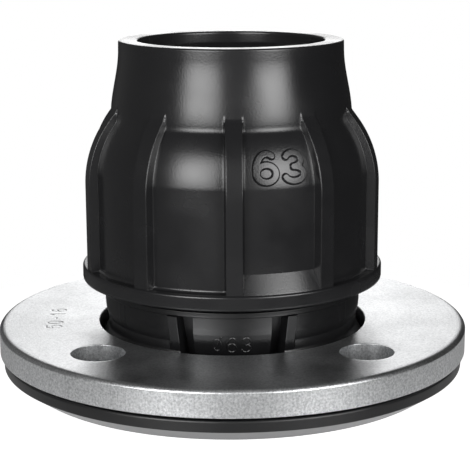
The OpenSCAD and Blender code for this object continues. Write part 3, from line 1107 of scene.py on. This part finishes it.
@dataclass
class FittingBody:
    """Moulded body: flange with bolt holes, ribbed neck, threaded sleeve, seal seat and pipe socket."""

    flange_r: float
    nose_z: float
    thread: Thread
    flange_t: float = 10.0
    bevel_h: float = 5.0
    bevel_w: float = 7.4
    edge: float = 0.8
    hole_r: float = 9.0
    hub_r: float = 46.8
    hub_z: float = 13.4
    foot_h: float = 5.0
    foot_fillet: float = 2.0
    waist_r: float = 43.95
    band_r: float = 45.0
    band_h: float = 6.0
    run_in_h: float = 3.2
    collar_r: float = 46.0
    collar_z: float = 31.0
    neck_rib_w: float = 4.0
    neck_ribs: tuple[float, ...] = (25.25, 56.5)
    neck_rib_lean: float = 13.0
    neck_rib_rise: float = 0.8
    outer_rib_r: float = 45.05
    window_half: float = 17.0
    pocket_depth: float = 2.2
    pocket_lean: float = 18.0
    rim_gap: float = 1.2
    mark_z: float = 21.5
    mark_shift: float = -0.2
    seat_r: float = 39.3
    seat_z: float = 58.0
    socket_r: float = 31.9
    stop_z: float = 20.0
    flow_r: float = 26.0
    groove_depth: float = 0.6
    groove_pitch: float = 5.0
    groove_count: int = 3
    face_r: float = 50.0
    # Small roundings and strips
    hub_margin: float = 1.6
    hub_fillet: float = 0.6
    hub_edge: float = 0.4
    waist_round: float = 1.0
    band_round: float = 12.0
    fine_edge: float = 0.4
    groove_edge: float = 0.1
    nose_edge: float = 1.0
    collar_chamfer: float = 1.1
    lip_w: float = 5.0
    lip_flat: float = 1.0
    lip_foot: float = 1.6
    lip_edge: float = 0.2
    hole_edge: float = 0.5
    hole_margin: float = 1.2
    face_strip: float = 1.0
    thread_lead: float = 2.2
    thread_short: float = 2.6
    # Softness of the neck's ribs and windows, and fineness of its mesh
    neck_start: float = 0.7
    rib_soft: float = 0.3
    window_soft: float = 0.25
    window_over: float = 1.0
    outer_rib_fall: float = 2.0
    outer_rib_run: float = 3.0
    edge_zone: float = 0.8
    edge_columns: int = 7
    plain_columns: int = 144
    column_gap: float = 0.012
    fillet_steps: int = 10

    @property
    def lean(self) -> float:
        """Lean of the neck's foot, in degrees."""
        return math.degrees(math.atan2(self.hub_r - self.waist_r, self.foot_h))

    @property
    def fillet_z(self) -> float:
        """Height where the foot's fillet ends in the straight waist."""
        return self.hub_z + self.foot_h + self.foot_fillet * math.tan(math.radians(self.lean / 2))

    @property
    def waist_z(self) -> float:
        """Height where the waist ends and runs out into the band."""
        return self.collar_z - self.band_h - self.run_in_h

    def neck(self) -> list[Point]:
        """Outline of the neck, from the flange over the foot, the waist and the band to the collar."""
        fillet = arc((self.waist_r + self.foot_fillet, self.fillet_z), self.foot_fillet,
                     180 + self.lean, 180, self.fillet_steps)
        low = rounded([
            (self.hub_r + self.hub_margin, self.flange_t),
            (self.hub_r, self.flange_t, self.hub_fillet),
            (self.hub_r, self.hub_z, self.hub_edge), fillet[0]], False)
        high = rounded([
            fillet[-1], (self.waist_r, self.waist_z, self.waist_round),
            (self.band_r, self.collar_z - self.band_h, self.band_round),
            (self.band_r, self.collar_z - 10 * WELD)], False)
        return low[:-1] + fillet + high

    def sleeve(self) -> list[Point]:
        """Outline from the collar over the sleeve and down through the socket to the sealing face."""
        fine, soft = self.fine_edge, self.groove_edge
        grooves = []
        for i in range(self.groove_count):
            r = self.flow_r + (2 + i) * self.groove_pitch
            grooves += [(r - self.groove_depth, 0.0, soft), (r, self.groove_depth, soft),
                        (r + self.groove_depth, 0.0, soft)]
        return rounded([
            (self.band_r, self.collar_z), (self.collar_r, self.collar_z, fine),
            (self.collar_r, self.thread.foot - self.collar_chamfer, fine),
            (self.thread.root_r, self.thread.foot, fine),
            (self.thread.root_r, self.nose_z, self.nose_edge), (self.seat_r, self.nose_z, fine),
            (self.seat_r, self.seat_z, fine), (self.socket_r, self.seat_z, fine),
            (self.socket_r, self.stop_z, fine), (self.flow_r, self.stop_z, fine),
            (self.flow_r, 0.0, self.edge), *grooves, (self.face_r, 0.0)], False)

    def rib_angles(self) -> np.ndarray:
        """Angles of the neck's ribs, in radians."""
        front = [sign * a for a in self.neck_ribs for sign in (-1, 1)]
        return np.radians([a + side for side in (0, 180) for a in front])

    def columns(self) -> np.ndarray:
        """Angles of the neck's columns, close together at the edges of ribs and windows."""
        fine = np.linspace(-self.edge_zone, self.edge_zone, self.edge_columns)
        edges = [a + (sign * self.neck_rib_w / 2 + d) / self.collar_r
                 for a in self.rib_angles() for sign in (-1, 1) for d in fine]
        edges += [side + sign * math.radians(self.window_half) + d / self.collar_r
                  for side in (0.0, math.pi) for sign in (-1, 1) for d in fine]
        plain = full_turn(self.plain_columns)
        apart = np.abs((plain[:, None] - np.array(edges) + math.pi) % (2 * math.pi) - math.pi).min(axis=1)
        return np.sort(np.concatenate([np.array(edges) % (2 * math.pi), plain[apart > self.column_gap]]))

    def core(self) -> np.ndarray:
        """Grid of the neck, sleeve and socket, with the neck's ribs and windows."""
        neck = joined(self.neck())
        path = joined(neck, self.sleeve())
        angles = self.columns()
        grid = turned(path, angles)
        r = np.broadcast_to(path[:, :1], grid.shape[:2]).copy()
        z = path[:, 1:]
        on_neck = (np.arange(len(path))[:, None] < len(neck)) & (z > self.flange_t + self.neck_start)
        off = (angles[:, None] - self.rib_angles() + math.pi) % (2 * math.pi) - math.pi
        nearest = np.abs(off).argmin(axis=1)
        off = off[np.arange(len(angles)), nearest]
        half = self.neck_rib_w / 2
        rib = smoothstep(half + self.rib_soft, half - self.rib_soft, np.abs(np.sin(off)) * self.collar_r)
        waist_z, down = self.waist_z, self.collar_z - z
        inner = self.collar_r + self.neck_rib_rise - math.tan(math.radians(self.neck_rib_lean)) * down
        outer = self.outer_rib_r - self.outer_rib_fall * smoothstep(waist_z + self.outer_rib_run, waist_z, z)
        reach = np.where(nearest % 4 < 2, inner, outer)
        front = np.abs((angles + math.pi / 2) % math.pi - math.pi / 2)
        edge = math.radians(self.window_half)
        window = smoothstep(self.window_soft, -self.window_soft, (front - edge) * self.collar_r)
        pocket = (1 - window) * (front < math.radians(self.neck_ribs[0])) * (1 - rib)
        # The marked panel leans in all the way down, and so do the pockets beside it
        slope = (self.band_r - self.waist_r) / self.run_in_h
        panel_r = self.waist_r - slope * (waist_z - z)
        sink = self.pocket_depth + math.tan(math.radians(self.pocket_lean)) * down
        cut = window * (z < waist_z + self.window_over) * np.maximum(0.0, r - panel_r)
        cut += pocket * np.maximum(0.0, r - (self.band_r - sink))
        cut = np.where(on_neck, cut * smoothstep(self.hub_z, self.hub_z + self.rib_soft, z), 0.0)
        proud = np.where(on_neck, rib * np.maximum(0.0, reach / np.cos(off) - r), 0.0)
        grid[..., :2] *= ((r - cut + proud) / r)[..., None]
        return grid

    def build(self, ridge: NodeShape, skin: Material,
              faced_sheen: Material) -> list[Object]:
        """Make the body, its thread and its size mark.

        Args:
            ridge: Tree that sweeps a thread's ridge.
            skin: Material as moulded, its black painted darker than the nut's as painted shade.
            faced_sheen: Material of the turned bevel and sealing face, grey as a painted reflection of the
                table's light.

        Returns:
            The body's pieces, the moulding first.
        """
        lip, foot = self.flange_r - self.lip_w, self.flange_r - self.bevel_w
        low = self.flange_t - self.rim_gap
        rim = outline(
            (lip, self.flange_t), (lip + self.lip_flat, self.flange_t, self.lip_edge),
            (lip + self.lip_foot, low, self.lip_edge), (self.flange_r, low, self.edge),
            (self.flange_r, self.bevel_h, self.fine_edge), (foot, 0.0, self.fine_edge),
            (foot - self.face_strip, 0.0))
        hole = hole_outline(self.hole_r, self.flange_t, 0.0, (self.hole_edge,) * 2, (self.hole_margin,) * 2)
        shell = Shell()
        Plate(rim, hole).build(shell, self.core())
        moulding = shell.to_object("body_moulding", skin, faced_sheen)
        # Faces under the flange that look down take the grey finish, a painted reflection of the table's
        # light
        for face in moulding.data.polygons:
            middle = face.center / MM
            out = math.hypot(middle.x, middle.y)
            under = face.normal.z < -0.3 and middle.z < self.bevel_h
            face.material_index = 1 if under and out > self.flow_r + self.edge else 0
        thread = self.thread
        outer = thread.ridge(ridge, "body_thread", thread.foot + self.thread_lead,
                             thread.length - self.thread_short, False, skin)
        mark = RaisedNumbers(Numbers(("diameter", "6", "3"), height=5.8, width=3.3, gap=1.6, pen=0.35),
                             rise=0.2, draft=0.2, cell=0.09)
        return [moulding, outer, mark.build("body_size_mark", self.shoulder_surface, skin)]

    def shoulder_surface(self, u: np.ndarray, v: np.ndarray) -> tuple[np.ndarray, np.ndarray]:
        """Points and outward normals of the neck's leaning front panel."""
        lean = math.atan2(self.band_r - self.waist_r, self.run_in_h)
        z = self.mark_z + v * math.cos(lean)
        r = self.waist_r + (z - self.waist_z) * math.tan(lean)
        angle = (u + self.mark_shift) / self.waist_r
        return around(r, angle, z), around(math.cos(lean), angle, -math.sin(lean))

    def dress(self, pieces: list[Object]) -> None:
        """Put the pieces on the fixed body in place of its solid."""
        for piece in pieces:
            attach(piece, Body.FIXED.value)
        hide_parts("fitting_body")


@dataclass
class BackingRing:
    """Loose steel ring that carries the bolts, with plain numbers punched in its top."""

    bottom: float
    top: float
    rim_r: float
    bore_r: float = 47.3
    edge: float = 0.4
    low_edge: float = 0.15
    bore_edge: float = 0.5
    hole_r: float = 9.0
    hole_edge: float = 0.1
    roll_w: float = 4.0
    roll_drop: float = 1.2
    stamp_r: float = 62.9
    stamp_angle: float = -88.0
    stamp_depth: float = 0.14
    stamp_margin: float = 1.0
    stamp_span: Point = (0.4, 0.05)
    cell: float = 0.2
    face_margin: float = 1.0
    bore_margin: float = 0.6
    roll_steps: int = 12
    roll_power: int = 6
    bore_columns: int = 192

    def stamp(self, shell: Shell) -> np.ndarray:
        """Add the punched field to the shell.

        Args:
            shell: Shell of the ring.

        Returns:
            Point numbers round the field's border.
        """
        row = Numbers(("5", "0", "-", "1", "6"), height=5.6, width=3.4, gap=1.9, pen=0.35)
        half_u, half_v = row.length / 2 + self.stamp_margin, row.height / 2 + self.stamp_margin
        u, v = np.meshgrid(np.linspace(-half_u, half_u, round(2 * half_u / self.cell)),
                           np.linspace(-half_v, half_v, round(2 * half_v / self.cell)))
        depth = self.stamp_depth * smoothstep(*self.stamp_span, row.distance(u, v))
        a = math.radians(self.stamp_angle)
        outward = np.array([math.sin(a), -math.cos(a)])
        along = np.array([outward[1], -outward[0]])
        flat = outward * self.stamp_r + u[..., None] * along + v[..., None] * outward
        index = shell.add_grid(np.concatenate([flat, (self.top - depth)[..., None]], axis=-1))
        return np.concatenate([index[0, :-1], index[:-1, -1], index[-1, :0:-1], index[:0:-1, 0]])

    def build(self, finish: Material) -> Object:
        """Make the ring from its rim, its bore, its holes and the punched field."""
        face = self.edge + self.face_margin
        # Punching drew the top face down towards the rim
        share = np.linspace(0.0, 1.0, self.roll_steps + 1)[:-1]
        roll = [(self.rim_r - self.roll_w * (1 - s), self.top - self.roll_drop * s**self.roll_power)
                for s in share]
        rim = joined(roll, rounded([
            roll[-1], (self.rim_r, self.top - self.roll_drop, self.edge),
            (self.rim_r, self.bottom, self.low_edge), (self.rim_r - face, self.bottom)], False))
        bore = hole_outline(self.bore_r, self.top, self.bottom, (self.bore_edge, self.edge),
                            (self.bore_edge + self.bore_margin, face))
        hole = hole_outline(self.hole_r, self.top, self.bottom, (self.hole_edge,) * 2, (face,) * 2)
        shell = Shell()
        border = self.stamp(shell)
        Plate(rim, hole).build(shell, turned(bore, full_turn(self.bore_columns)), [border])
        return shell.to_object("steel_ring", finish)

    def dress(self, piece: Object) -> None:
        """Put the ring on its swivelling body in place of its solid."""
        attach(piece, Body.RING.value)
        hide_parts("backing_flange")


@dataclass
class ClampSet:
    """What clamps and seals the pipe inside: round seal, thrust bush and split grip ring."""

    seal_low: float
    seal_high: float
    seal_out_r: float
    bush_low: float
    bush_high: float
    bush_head_r: float
    grip_low: float
    grip_high: float
    grip_out_r: float
    bush_in_r: float = 32.2
    bush_skirt_r: float = 38.95
    bush_head_z: float = 69.3
    grip_in_r: float = 32.1
    grip_top_r: float = 33.96
    tooth_depth: float = 0.9
    tooth_pitch: float = 3.5
    slit_w: float = 7.0
    slit_turn: float = 140.0
    bush_edge: float = 0.5
    grip_edge: float = 0.3
    tooth_edge: float = 0.15
    columns: int = 128
    grip_columns: int = 121
    cord_steps: int = 32

    def seal(self, finish: Material) -> Object:
        """Make the round cord of the seal."""
        radius = (self.seal_high - self.seal_low) / 2
        centre = (self.seal_out_r - radius, (self.seal_high + self.seal_low) / 2)
        path = np.array(arc(centre, radius, 0.0, 360.0, self.cord_steps)[:-1])
        return turned_ring("seal_cord", path, self.columns, finish)

    def bush(self, finish: Material) -> Object:
        """Make the stepped bush that presses on the seal."""
        soft = self.bush_edge
        path = rounded([
            (self.bush_in_r, self.bush_low, soft), (self.bush_skirt_r, self.bush_low, soft),
            (self.bush_skirt_r, self.bush_head_z, soft),
            (self.bush_head_r, self.bush_head_z, soft),
            (self.bush_head_r, self.bush_high, soft), (self.bush_in_r, self.bush_high, soft)])
        return turned_ring("bush_moulding", joined(path), self.columns, finish)

    def grip(self, finish: Material) -> Object:
        """Make the split ring with its row of teeth."""
        soft, sharp = self.grip_edge, self.tooth_edge
        teeth = int((self.grip_high - self.grip_low) / self.tooth_pitch) - 1
        bite = []
        for i in range(teeth):
            z = self.grip_high - i * self.tooth_pitch
            bite += [(self.grip_in_r, z, sharp if i else soft),
                     (self.grip_in_r + self.tooth_depth, z - self.tooth_pitch, sharp)]
        end = self.grip_high - teeth * self.tooth_pitch
        path = joined(rounded([
            (self.grip_out_r, self.grip_low, soft), (self.grip_top_r, self.grip_high, soft),
            *bite, (self.grip_in_r, end, sharp), (self.grip_in_r, self.grip_low, soft)]))
        half = np.arcsin(self.slit_w / 2 / path[:, :1])
        share = np.linspace(0.0, 1.0, self.grip_columns)
        angles = math.radians(self.slit_turn) + half + (2 * math.pi - 2 * half) * share
        shell = Shell()
        shell.add_capped(around(path[:, :1], angles, path[:, 1:]))
        return shell.to_object("grip_jaws", finish)

    def dress(self, seal: Object, bush: Object, grip: Object) -> None:
        """Put each piece on its body in place of its solid."""
        rows = ((seal, Body.FIXED, "seal_rubber", "o_ring_seal"),
                (bush, Body.FIXED, "bush_plastic", "thrust_bush"),
                (grip, Body.GRIP, "grip_plastic", "grip_ring"))
        for piece, body, slot, node in rows:
            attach(piece, body.value)
            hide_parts(node)


# Studio

WHITE = (1.0, 1.0, 1.0, 1.0)


@dataclass(frozen=True)
class Softbox:
    """A rectangle of soft light, placed by its direction from the object."""

    name: str
    azimuth: float
    width: float
    radiance: float
    height: float = 0.64
    elevation: float = 18.5
    distance: float = 0.9
    edge_share: float = 0.3
    fall_span: Point = (0.1, 0.6)

    def build(self, target: Vector) -> None:
        """Make the lamp and aim it at a point."""
        lamp = bpy.data.lights.new(self.name, "AREA")
        lamp.shape = "RECTANGLE"
        lamp.size = self.width
        lamp.size_y = self.height
        lamp.energy = self.radiance * math.pi * self.width * self.height
        lamp.use_nodes = True
        lamp.node_tree.nodes.clear()
        wires = Wiring(lamp.node_tree)
        # The diffuser is brightest in front of the flash tube and falls off towards its edges
        place = wires.node("ShaderNodeNewGeometry", out="Parametric")
        off_middle = wires.vector("DISTANCE", place, (0.5, 0.5, 0.0))
        fall = wires.ramp(off_middle, self.fall_span, 1.0, self.edge_share, soft=True)
        light = wires.node("ShaderNodeEmission", {"Strength": fall})
        add_node(wires.tree, "ShaderNodeOutputLight", {"Surface": light})
        thing = bpy.data.objects.new(self.name, lamp)
        a, e = math.radians(self.azimuth), math.radians(self.elevation)
        away = Vector((math.sin(a) * math.cos(e), -math.cos(a) * math.cos(e), math.sin(e)))
        thing.location = target + away * self.distance
        thing.rotation_euler = (-away).to_track_quat("-Z", "Y").to_euler()
        bpy.context.scene.collection.objects.link(thing)


@dataclass
class Studio:
    """White table, white backdrop, two softboxes at the camera's sides and a dark ceiling.

    The spans of the room say where a light starts and ends, as parts of the direction's X, Y or Z.
    """

    softboxes: tuple[Softbox, ...] = (
        Softbox("softbox_left", azimuth=-29.0, width=0.57, radiance=10.2),
        Softbox("softbox_right", azimuth=39.5, width=0.58, radiance=9.5),
    )
    lamp_target: tuple[float, float, float] = (0.0, 0.0, 0.05)
    camera_place: tuple[float, float, float] = (0.0, -0.49824, 0.16074)
    pitch: float = 12.68
    roll: float = -0.271
    lens: float = 110.5
    sensor: float = 36.0
    shift: Point = (0.00655, 0.001)
    clip: Point = (0.01, 50.0)
    table_r: float = 0.15
    table_z: float = -0.05 * MM
    table_sides: int = 96
    table_glow: float = 0.9
    # Painted reflection: in reflections the table glows, brightly in a ring round the object's foot and dimly
    # further out
    painted_foot_sheen: float = 0.65
    table_dim: float = 0.06
    foot_r: float = 0.084
    foot_soft: float = 0.004
    table_colour: str = "#cccccc"
    table_gloss: float = 0.08
    table_polish: float = 0.3
    backdrop: float = 1.34
    backdrop_sides: Point = (0.29, 0.1)
    backdrop_rear: Point = (0.4, 0.6)
    backdrop_top: Point = (0.9, 0.5)
    horizon: Point = (-0.04, 0.04)
    backdrop_foot: float = 2.6
    foot_span: Point = (0.2, 0.08)
    room: float = 0.022
    room_left: float = 0.13
    left_span: Point = (-0.2, -0.8)
    ceiling: float = 0.15
    ceiling_span: Point = (0.88, 0.98)
    front: float = 0.3
    front_span: Point = (-0.8, -0.97)

    def table(self) -> None:
        """Make the small white table, which glows for the camera, keeps the object's shadow and shows
        reflections a painted bright ring round the object's foot.
        """
        mesh = bpy.data.meshes.new("table")
        rim = [(self.table_r * math.cos(a), self.table_r * math.sin(a), self.table_z)
               for a in full_turn(self.table_sides)]
        mesh.from_pydata(rim, [], [tuple(range(len(rim)))])
        material = bpy.data.materials.new("matt_white_acrylic_table")
        material.use_nodes = True
        material.node_tree.nodes.clear()
        wires = Wiring(material.node_tree)
        path = add_node(wires.tree, "ShaderNodeLightPath").outputs
        seen = wires.math("MULTIPLY", path["Is Camera Ray"], self.table_glow)
        away = wires.vector("LENGTH", wires.node("ShaderNodeTexCoord", out="Object"))
        # Painted sheen: glossy rays see a painted bright ring round the object's foot, so the bevel above it
        # looks lit
        foot = (self.foot_r - self.foot_soft, self.foot_r + self.foot_soft)
        painted_sheen = wires.ramp(away, foot, self.painted_foot_sheen, self.table_dim, soft=True)
        glow = wires.math("MULTIPLY_ADD", path["Is Glossy Ray"], painted_sheen, seen)
        light = wires.node("ShaderNodeEmission", {"Strength": glow})
        matt = wires.node("ShaderNodeBsdfDiffuse", {"Color": linear(self.table_colour)})
        both = wires.node("ShaderNodeAddShader", {0: light, 1: matt})
        # The acrylic's polish mirrors the lamps into the object, and isn't shown to the camera
        polish = wires.node("ShaderNodeBsdfGlossy", {"Color": WHITE, "Roughness": self.table_polish})
        share = wires.math("MULTIPLY", path["Is Glossy Ray"], self.table_gloss)
        skin = wires.node("ShaderNodeMixShader", {0: share, 1: both, 2: polish})
        add_node(wires.tree, "ShaderNodeOutputMaterial", {"Surface": skin})
        mesh.materials.append(material)
        thing = bpy.data.objects.new("table", mesh)
        bpy.context.scene.collection.objects.link(thing)

    def surround(self) -> None:
        """Make the room: white for the camera, a white backdrop behind the object, a dark ceiling."""
        world = bpy.data.worlds.new("studio")
        bpy.context.scene.world = world
        world.use_nodes = True
        world.node_tree.nodes.clear()
        wires = Wiring(world.node_tree)
        way = wires.node("ShaderNodeTexCoord", out="Generated")
        x, y, z = (wires.part(way, axis) for axis in "XYZ")
        across = wires.ramp(wires.math("ABSOLUTE", x), self.backdrop_sides, high=self.backdrop, soft=True)
        behind = wires.math("MULTIPLY", across, wires.ramp(y, self.backdrop_rear))
        band = wires.math("MULTIPLY", wires.ramp(z, self.horizon, soft=True),
                          wires.ramp(z, self.backdrop_top, soft=True))
        # The backdrop's own lamps stand on the floor, so it is brightest low down
        low = wires.ramp(z, self.foot_span, 1.0, self.backdrop_foot, soft=True)
        backdrop = wires.math("MULTIPLY", behind, wires.math("MULTIPLY", band, low))
        side = wires.ramp(x, self.left_span, self.room, self.room_left, soft=True)
        # A little light from the ceiling keeps the steel bright when it is looked at from above
        ceiling = wires.ramp(z, self.ceiling_span, high=self.ceiling, soft=True)
        # The wall behind the camera gets a little of the lamps' light
        level = wires.ramp(y, self.front_span, high=self.front, soft=True)
        seen = wires.node("ShaderNodeLightPath", out="Is Camera Ray")
        for other in (ceiling, side, backdrop, seen):
            level = wires.math("MAXIMUM", level, other)
        light = wires.node("ShaderNodeBackground", {"Color": WHITE, "Strength": level})
        add_node(wires.tree, "ShaderNodeOutputWorld", {"Surface": light})

    def camera(self) -> None:
        """Set the camera at the viewing point of the picture."""
        data = bpy.data.cameras.new("camera")
        data.lens = self.lens
        data.sensor_width = self.sensor
        data.shift_x, data.shift_y = self.shift
        data.clip_start, data.clip_end = self.clip
        thing = bpy.data.objects.new("camera", data)
        tilt = Matrix.Rotation(math.radians(90.0 - self.pitch), 4, "X")
        thing.matrix_world = Matrix.Translation(self.camera_place) @ tilt @ Matrix.Rotation(
            math.radians(self.roll), 4, "Z")
        bpy.context.scene.collection.objects.link(thing)
        bpy.context.scene.camera = thing

    def build(self) -> None:
        """Make the camera, the table, the room and the lamps."""
        self.camera()
        self.table()
        self.surround()
        for softbox in self.softboxes:
            softbox.build(Vector(self.lamp_target))
        bpy.context.scene.view_settings.view_transform = "Standard"


def node_box(node: str) -> tuple[Vector, Vector]:
    """Lowest and highest corner of a solid of the frame, in millimetres."""
    low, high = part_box(node)
    return Vector(low) / MM, Vector(high) / MM


def report(pieces: Sequence[Object]) -> None:
    """Log each piece with its number of triangles."""
    for piece in pieces:
        piece.data.calc_loop_triangles()
        LOG.info("%s: %d triangles", piece.name, len(piece.data.loop_triangles))


def main() -> None:
    """Build the studio, then every piece from the inside out."""
    logging.basicConfig(level=logging.INFO, format="%(name)s: %(message)s")
    Studio().build()
    nut_finish = MouldedPolypropylene("satin_moulded_polypropylene", "#1a1a1b", 0.24, 1.49).build()
    # The body's black is painted darker than the nut's same polypropylene, painted shade for the neck under
    # the nut
    body_shaded_finish = MouldedPolypropylene("moulded_polypropylene", "#0f0f10", 0.35, 1.49).build()
    # The turned bevel's grey is a painted reflection of the table's light
    faced_sheen_finish = TurnedPolypropylene("turned_polypropylene_painted_sheen", "#58585a", 0.3, 1.49).build()
    zinc_finish = HotDipZinc("hot_dip_zinc_on_steel", "#f0f1f2", 0.34).build()
    rubber_finish = PlainMoulding("moulded_nitrile_rubber", "#161616", 0.6, 1.52).build()
    bush_finish = PlainMoulding("moulded_grey_polypropylene", "#2a2a2b", 0.42, 1.49).build()
    grip_finish = PlainMoulding("moulded_natural_acetal", "#e3e2da", 0.38, 1.48).build()

    repeat, ridge = repeat_about_axis(), thread_ridge()
    nut_low, nut_high = node_box("compression_nut")
    body_low, body_high = node_box("fitting_body")
    ring_low, ring_high = node_box("backing_flange")
    seal_low, seal_high = node_box("o_ring_seal")
    bush_low, bush_high = node_box("thrust_bush")
    grip_low, grip_high = node_box("grip_ring")
    thread = Thread()

    body = FittingBody((body_high.x - body_low.x) / 2, body_high.z, thread)
    body_pieces = body.build(ridge, body_shaded_finish, faced_sheen_finish)
    body.dress(body_pieces)
    report(body_pieces)

    ring = BackingRing(ring_low.z, ring_high.z, (ring_high.x - ring_low.x) / 2)
    steel = ring.build(zinc_finish)
    ring.dress(steel)
    report([steel])

    clamps = ClampSet(seal_low.z, seal_high.z, seal_high.x, bush_low.z, bush_high.z, bush_high.x,
                      grip_low.z, grip_high.z, -grip_low.x)
    inner = (clamps.seal(rubber_finish), clamps.bush(bush_finish), clamps.grip(grip_finish))
    clamps.dress(*inner)
    report(inner)

    nut = CompressionNut(nut_low.z, nut_high.z, (nut_high.x - nut_low.x) / 2)
    nut_pieces = nut.build(repeat, ridge, thread, nut_finish)
    nut.dress(nut_pieces)
    report(nut_pieces)


if __name__ == "__main__":
    main()
